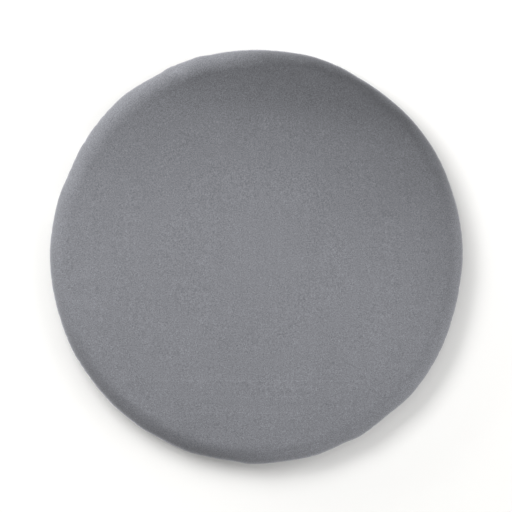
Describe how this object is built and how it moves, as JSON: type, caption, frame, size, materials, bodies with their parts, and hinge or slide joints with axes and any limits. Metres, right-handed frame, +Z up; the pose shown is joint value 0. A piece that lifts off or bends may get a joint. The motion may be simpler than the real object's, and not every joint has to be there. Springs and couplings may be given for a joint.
{
  "type": "round seat cushion",
  "caption": "Round padded seat cushion with a zipped velour cover, a crowned top, a soft rolled rim and a non-slip underside.",
  "frame": {"origin": "middle of the underside, on the plane that the grip dots rest on", "axes": "+Z up through the middle of the crowned top, +Y towards the zipped back"},
  "size_m": [0.3999, 0.4, 0.042],
  "materials": {
    "velour": "matte",
    "grip_cloth": "matte",
    "thread": "satin",
    "zip_tape": "matte",
    "zip_nylon": "satin",
    "zip_metal": "satin",
    "label_satin": "satin",
    "liner_cloth": "matte",
    "wadding": "matte",
    "foam": "matte"
  },
  "bodies": {
    "cushion": {"cover_top_panel": "velour", "cover_side_band": "velour", "cover_base_panel": "grip_cloth", "upper_seam_overlock": "thread", "lower_seam_overlock": "thread", "zip_tape_upper": "zip_tape", "zip_tape_lower": "zip_tape", "zip_coil_upper": "zip_nylon", "zip_coil_lower": "zip_nylon", "zip_top_stops": "zip_metal", "zip_bottom_stop": "zip_metal", "zip_bartacks": "thread", "liner_top": "liner_cloth", "liner_base": "liner_cloth", "liner_seam_thread": "thread", "wadding_top": "wadding", "wadding_base": "wadding", "foam_core": "foam"},
    "slider": {"zip_slider_body": "zip_metal"},
    "pull_tab": {"zip_pull_tab": "zip_metal"},
    "label": {"care_label": "label_satin"}
  },
  "joints": [
    {"name": "zip_run", "type": "hinge", "parent": "cushion", "child": "slider", "pos_m": [0, 0, 0.012], "axis": [0, 0, -1], "range_deg": [0, 121.6]},
    {"name": "tab_flip", "type": "hinge", "parent": "slider", "child": "pull_tab", "pos_m": [-0.17336, 0.09657, 0.01027], "axis": [-0.3925, 0.2194, 0.8932], "range_deg": [0, 176]},
    {"name": "label_lift", "type": "hinge", "parent": "cushion", "child": "label", "pos_m": [-0.19459, 0.04852, 0.0168], "axis": [0.2419, 0.9703, 0], "range_deg": [0, 85]}
  ]
}
